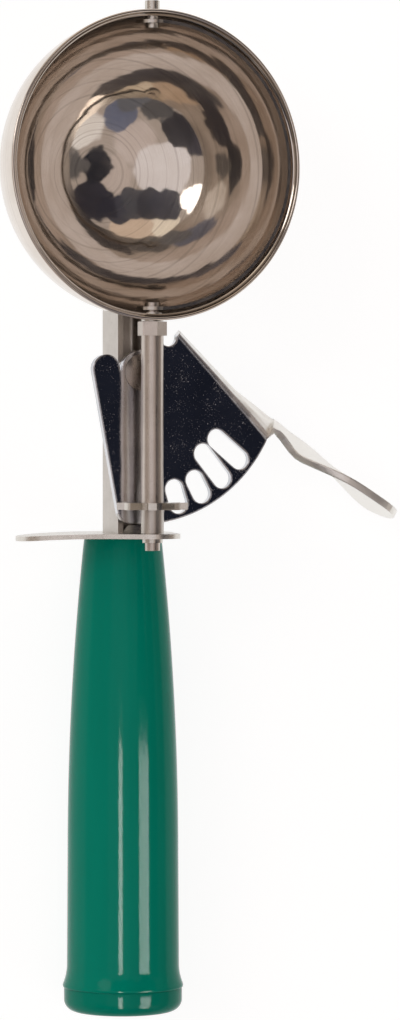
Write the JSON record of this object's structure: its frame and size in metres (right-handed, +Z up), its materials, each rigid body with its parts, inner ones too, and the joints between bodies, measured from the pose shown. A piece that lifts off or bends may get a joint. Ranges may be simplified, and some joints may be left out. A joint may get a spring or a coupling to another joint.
{
  "type": "ice cream scoop",
  "caption": "Thumb-lever ice cream scoop: a toothed lever turns a pinion shaft that sweeps a scraper band round a round steel bowl; green plastic handle.",
  "frame": {"origin": "centre of the bounding box seen from above, on the table plane the scoop lies on", "axes": "+Z up from the table; +Y along the scoop from the handle towards the bowl; +X towards the thumb lever. The scoop lies as it comes to rest: balanced on the back of its bowl and the lip of its grip, its bowl opening up and rolled about 13.6 degrees towards the lever, whose thumb pad hangs just clear of the table"},
  "size_m": [0.089, 0.2174, 0.0435],
  "materials": {
    "polished_steel": "polished stainless steel with fine spinning lines",
    "mirror_steel": "mirror-polished pressed stainless sheet",
    "satin_steel": "satin stainless steel, warm grey",
    "machined_steel": "machined stainless steel",
    "spring_wire": "drawn spring wire",
    "zinc_plate": "plain plated steel, hidden in the handle",
    "green_plastic": "glossy moulded plastic, deep green",
    "green_cap": "glossy moulded plastic, deep green"
  },
  "bodies": {
    "frame": {"bowl": "polished_steel", "upper_bush": "satin_steel", "far_pivot_rivet": "polished_steel", "far_washer": "polished_steel", "shank": "satin_steel", "bowl_strap": "satin_steel", "finger_guard": "satin_steel", "tang_foot": "satin_steel", "tang_rod": "zinc_plate", "tang_washer": "zinc_plate", "tang_nut": "zinc_plate", "pivot_post": "satin_steel", "pivot_washer": "satin_steel", "return_spring": "spring_wire", "grip": "green_plastic", "end_cap": "green_cap"},
    "lever": {"lever": "mirror_steel"},
    "drive": {"drive_shaft": "satin_steel", "drive_collar": "satin_steel", "pinion": "machined_steel", "spacer_sleeve": "satin_steel", "retaining_ring": "machined_steel", "scraper_blade": "polished_steel"}
  },
  "joints": [
    {"name": "lever_squeeze", "type": "hinge", "parent": "frame", "child": "lever", "pos_m": [-0.01332, 0.0297, 0.02621], "axis": [-0.2351, 0.0155, -0.9718], "range_deg": [0, 45], "stiffness_Nm_per_rad": 0.12, "springref_deg": -20.05, "deforming": ["return_spring"]},
    {"name": "scraper_sweep", "type": "hinge", "parent": "frame", "child": "drive", "pos_m": [-0.01196, 0.02961, 0.03185], "axis": [0, 0.9999, 0.016], "range_deg": [0, 180]}
  ],
  "couplings": [
    {"joint": "scraper_sweep", "follows": "lever_squeeze", "ratio": 4}
  ]
}
